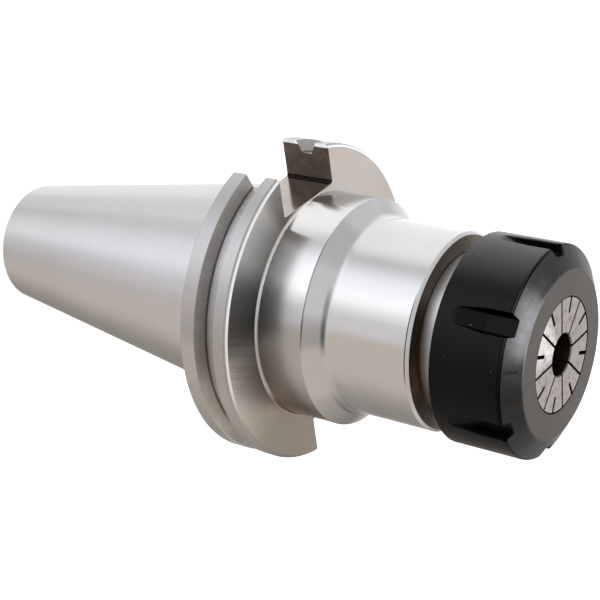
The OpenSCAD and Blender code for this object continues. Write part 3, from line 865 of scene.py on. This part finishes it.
def collet_steel(sizes, finish):
    """Fine ground collet steel, a little warm, with brown stains on its face, a painted highlight on one side
    of the face and painted shade in the bore, the slits and the other faces.
    """
    material, sheet, shader = new_material("collet_steel")
    at = Around(sheet)
    front = sheet.step(at.z, *past(COLLET_FACE, COLLET_SKIN))
    bore = (1 - sheet.step(at.r, *past(sizes.bore_radius, BORE_SKIN))) * (1 - front)
    clouds = sheet.noise(at.point, *COLLET_CLOUDS)
    grain = sheet.noise(at.point, *STEEL_GRAIN)
    lines = at.turning(COLLET_LINES_PER_MM)
    stains = sheet.step(sheet.noise(at.point, *COLLET_STAINS), *STAIN_RISE)
    stains = stains * sheet.band(at.r, sizes.bore_radius + STAIN_INNER, sizes.face_radius - STAIN_OUTER,
                                 STAIN_SOFT)
    tone = swing(clouds) * COLLET_CLOUD_TONE + swing(lines) * COLLET_LINE_TONE
    tone = tone + swing(grain) * COLLET_GRAIN_TONE + 1
    # painted highlight on one side of the collet's face
    plain = sheet.mix(at.lobe(*COLLET_HIGHLIGHT_SIDE), finish.collet, finish.collet_highlight)
    shade = sheet.layered(sheet.scaled(plain, tone), (
        (stains * STAIN_SHARE, finish.stain),
        # painted shade in the bore and on the other faces and slits
        (bore, finish.collet_bore_shade),
        ((1 - front) * (1 - bore), finish.collet_side_shade),
    ))
    rough = swing(clouds) * COLLET_CLOUD_ROUGH + finish.collet_rough
    height = lines * COLLET_LINE_HEIGHT + grain * COLLET_GRAIN_HEIGHT
    feed(sheet, shader, Base_Color=shade, Metallic=1.0, Roughness=rough, Normal=sheet.bump(height))
    return material


# ---- Meshes ----

STEPS_PER_TURN = 96
RUN_OUT_TURNS = 0.5  # over which a thread grows at its start and dies away at its end
RUN_OUT_LEAST = 0.02
SUNK = 0.05 * MM  # how deep a ridge's foot is sunk into the solid that carries it
HALF_FOOT, HALF_CREST = 0.40, 0.08  # in pitches


def put_mesh(name, points, faces):
    """A new object from an array of points and a list of faces."""
    mesh = bpy.data.meshes.new(name)
    mesh.from_pydata(points.tolist(), [], faces)
    mesh.update()
    made = bpy.data.objects.new(name, mesh)
    bpy.context.scene.collection.objects.link(made)
    return made


def tube_grid(rings, round_points):
    """Faces of a grid whose second direction closes on itself, as an array of corner numbers."""
    i, j = np.meshgrid(np.arange(rings - 1), np.arange(round_points), indexing="ij")
    k = (j + 1) % round_points
    here, there = i * round_points, (i + 1) * round_points
    corners = [here + j, here + k, there + k, there + j]
    return np.stack(corners, -1).reshape(-1, 4)


def thread_ridge(name, base, crest, low, high, pitch):
    """A closed helical ridge. With u in turns, the point (u, v) lies at angle 2 pi u and height
    low + u * pitch, moved by corner v of a section: foot at radius base, flat crest at radius crest. The
    section grows from nearly nothing over the first half turn, dies away over the last and has flat ends."""
    turns = (high - low) / pitch
    u = np.linspace(0, turns, int(turns * STEPS_PER_TURN) + 1)
    rise = np.clip(np.minimum(u, turns - u) / RUN_OUT_TURNS, 0, 1)
    rise = RUN_OUT_LEAST + (1 - RUN_OUT_LEAST) * rise * rise * (3 - 2 * rise)
    outward = np.sign(crest - base)
    sunk = base - outward * SUNK
    foot, flat = HALF_FOOT * pitch, HALF_CREST * pitch
    section_r = np.array([sunk, base, crest, crest, base, sunk])
    section_z = np.array([-foot, -foot, -flat, flat, foot, foot])
    radius = sunk + (section_r[None, :] - sunk) * rise[:, None]
    around = 2 * math.pi * u[:, None]
    height = low + u * pitch
    points = np.stack([
        radius * np.cos(around),
        radius * np.sin(around),
        height[:, None] + section_z[None, :] * rise[:, None],
    ], -1).reshape(-1, 3)
    corners = len(section_r)
    ends = np.array([np.arange(corners)[::-1], np.arange(corners) + (len(u) - 1) * corners])
    faces = tube_grid(len(u), corners)
    if outward > 0:
        faces, ends = faces[:, ::-1], ends[:, ::-1]
    return put_mesh(name, points, faces.tolist() + ends.tolist())


def dress(node, material):
    """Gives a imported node's object one material, without touching its mesh."""
    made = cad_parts[node]
    if not made.material_slots:
        made.data.materials.append(material)
    for slot in made.material_slots:
        slot.material = material


# ---- Steps ----

def groups(context):
    """The sizes and the finish of the scene."""
    return getattr(context.scene, SIZES), getattr(context.scene, FINISH)


class CHUCK_OT_holder(Operator):
    """Finishes the holder and gives it its nose thread and its pull stud thread"""

    bl_idname = "chuck.holder"
    bl_label = "Holder"

    def execute(self, context):
        sizes, finish = groups(context)
        steel = ground_steel(sizes, finish)
        dress("holder_body", steel)
        nose = thread_ridge("nose_thread", sizes.thread_root, sizes.thread_crest, sizes.thread_start,
                            sizes.thread_end, sizes.thread_pitch)
        stud = thread_ridge("pull_stud_thread", sizes.stud_root, sizes.stud_crest, sizes.stud_start,
                            sizes.stud_end, sizes.stud_pitch)
        for ridge in (nose, stud):
            ridge.data.materials.append(steel)
            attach(ridge, "holder")
        return {"FINISHED"}


class CHUCK_OT_nut(Operator):
    """Finishes the clamping nut and gives it its thread"""

    bl_idname = "chuck.nut"
    bl_label = "Clamping nut"

    def execute(self, context):
        sizes, finish = groups(context)
        oxide = black_oxide(sizes, finish)
        dress("clamping_nut", oxide)
        ridge = thread_ridge("nut_thread", sizes.nut_root, sizes.nut_crest, sizes.nut_thread_start,
                             sizes.nut_thread_end, sizes.thread_pitch)
        ridge.data.materials.append(oxide)
        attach(ridge, "nut")
        return {"FINISHED"}


class CHUCK_OT_collet(Operator):
    """Finishes the collet"""

    bl_idname = "chuck.collet"
    bl_label = "Collet"

    def execute(self, context):
        dress("collet", collet_steel(*groups(context)))
        return {"FINISHED"}


# ---- Stage ----

class Glow(NamedTuple):
    """Light from one side: its azimuth, where it is full and where it ends, in degrees, and its colour."""

    azimuth: float
    full: float
    ends: float
    tint: tuple


SOFTBOX = Glow(-70.0, 42.0, 82.0, (1.01, 1.03, 1.05))
CARD = Glow(29.0, 4.0, 37.0, (1.06, 1.13, 1.27))
BOUNCE = Glow(94.0, 28.0, 90.0, (0.46, 0.41, 0.36))
FILL = Glow(71.0, 8.0, 17.0, (0.18, 0.23, 0.34))
TABLE = Glow(150.0, 10.0, 80.0, (0.78, 0.70, 0.63))
AMBIENT_TINT = (0.36, 0.33, 0.305)
CEILING_TINT = (0.90, 0.90, 0.92)
WHITE, NO_GLOW = (1, 1, 1), (0, 0, 0)
CEILING_RISE = (-0.12, 0.3)  # heights of a direction between which the ceiling takes over
UNDER_FALL = (-0.8, -0.98)
LEVEL_GUARD = 0.0001  # keeps a straight up or down direction finite


def studio_world():
    """White for the camera; for the object a softbox on the photo's upper side, a card by the camera, a warm
    bounce on the photo's lower side and a pale ceiling."""
    world = bpy.data.worlds.new("studio")
    bpy.context.scene.world = world
    world.use_nodes = True
    tree = world.node_tree
    tree.nodes.clear()
    sheet = Sheet(tree)
    output = tree.nodes.new("ShaderNodeOutputWorld")
    shader = tree.nodes.new("ShaderNodeBackground")
    tree.links.new(shader.outputs[0], output.inputs[0])
    _, (x, y, z) = sheet.position("Generated")
    level = sheet.hypot(x, y) + LEVEL_GUARD
    x, y = x / level, y / level
    light = AMBIENT_TINT
    for glow in (SOFTBOX, CARD, BOUNCE, FILL):
        light = sheet.add(light, sheet.scaled(glow.tint, lobe(sheet, x, y, *glow[:3])))
    ceiling = sheet.mix(lobe(sheet, x, y, *TABLE[:3]), CEILING_TINT, TABLE.tint)
    light = sheet.layered(light, (
        (sheet.step(z, *CEILING_RISE), ceiling),
        (sheet.step(z, *UNDER_FALL), AMBIENT_TINT),
        (sheet.seen(), WHITE),
    ))
    tree.links.new(light.socket, shader.inputs["Color"])


def white_floor(stage):
    """The floor under the small end: white where the camera sees it, with the object's shadow kept."""
    half = stage.floor_size / 2
    z = SMALL_END
    points = np.array([[-half, -half, z], [half, -half, z], [half, half, z], [-half, half, z]])
    floor = put_mesh("floor", points, [[0, 1, 2, 3]])
    material, sheet, shader = new_material("floor_paper")
    feed(sheet, shader, Base_Color=(*stage.floor_tint, 1), Roughness=stage.floor_rough,
         Emission_Color=sheet.mix(sheet.seen(), NO_GLOW, WHITE), Emission_Strength=stage.floor_glow)
    floor.data.materials.append(material)
    floor.visible_glossy = False


def photo_axes(stage):
    """The camera's right, up and back directions, from the azimuth, elevation and roll."""
    az, el, roll = stage.azimuth, stage.elevation, stage.roll
    forward = Vector((math.sin(az) * math.cos(el), math.cos(az) * math.cos(el), -math.sin(el)))
    level = forward.cross(Vector((0, 0, 1))).normalized()
    upright = level.cross(forward)
    right = level * math.cos(roll) + upright * math.sin(roll)
    return right, right.cross(forward), -forward


class CHUCK_OT_stage(Operator):
    """Builds the camera, the floor and the world that lights the object"""

    bl_idname = "chuck.stage"
    bl_label = "Stage"

    def execute(self, context):
        stage = getattr(context.scene, STAGE)
        right, up, back = photo_axes(stage)
        lens = bpy.data.cameras.new("photo_camera")
        lens.lens, lens.sensor_width = stage.lens, stage.sensor
        camera = bpy.data.objects.new("photo_camera", lens)
        context.scene.collection.objects.link(camera)
        turn = Matrix((right, up, back)).transposed().to_4x4()
        camera.matrix_world = Matrix.Translation(Vector(stage.aim) + back * stage.distance) @ turn
        context.scene.camera = camera
        white_floor(stage)
        studio_world()
        context.scene.view_settings.view_transform = "Standard"
        return {"FINISHED"}


class CHUCK_PT_panel(Panel):
    """Lists the steps that build the looks"""

    bl_idname = "CHUCK_PT_panel"
    bl_label = "Collet chuck"
    bl_space_type = "VIEW_3D"
    bl_region_type = "UI"
    bl_category = "Chuck"

    def draw(self, context):
        for step in STEPS:
            self.layout.operator(step.bl_idname)


STEPS = (CHUCK_OT_stage, CHUCK_OT_holder, CHUCK_OT_nut, CHUCK_OT_collet)
GROUPS = ((SIZES, ChuckSizes), (FINISH, ChuckFinish), (STAGE, ChuckStage))


def register():
    """Registers the classes and hangs the property groups on the scene."""
    for _, group in GROUPS:
        bpy.utils.register_class(group)
    for step in (*STEPS, CHUCK_PT_panel):
        bpy.utils.register_class(step)
    for name, group in GROUPS:
        setattr(bpy.types.Scene, name, PointerProperty(type=group))


def unregister():
    """Takes everything back that register added."""
    for name, _ in GROUPS:
        delattr(bpy.types.Scene, name)
    for step in reversed((*STEPS, CHUCK_PT_panel)):
        bpy.utils.unregister_class(step)
    for _, group in reversed(GROUPS):
        bpy.utils.unregister_class(group)


def main():
    """Registers the add-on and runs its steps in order."""
    register()
    for step in STEPS:
        area, name = step.bl_idname.split(".")
        getattr(getattr(bpy.ops, area), name)()


if __name__ == "__main__":
    main()
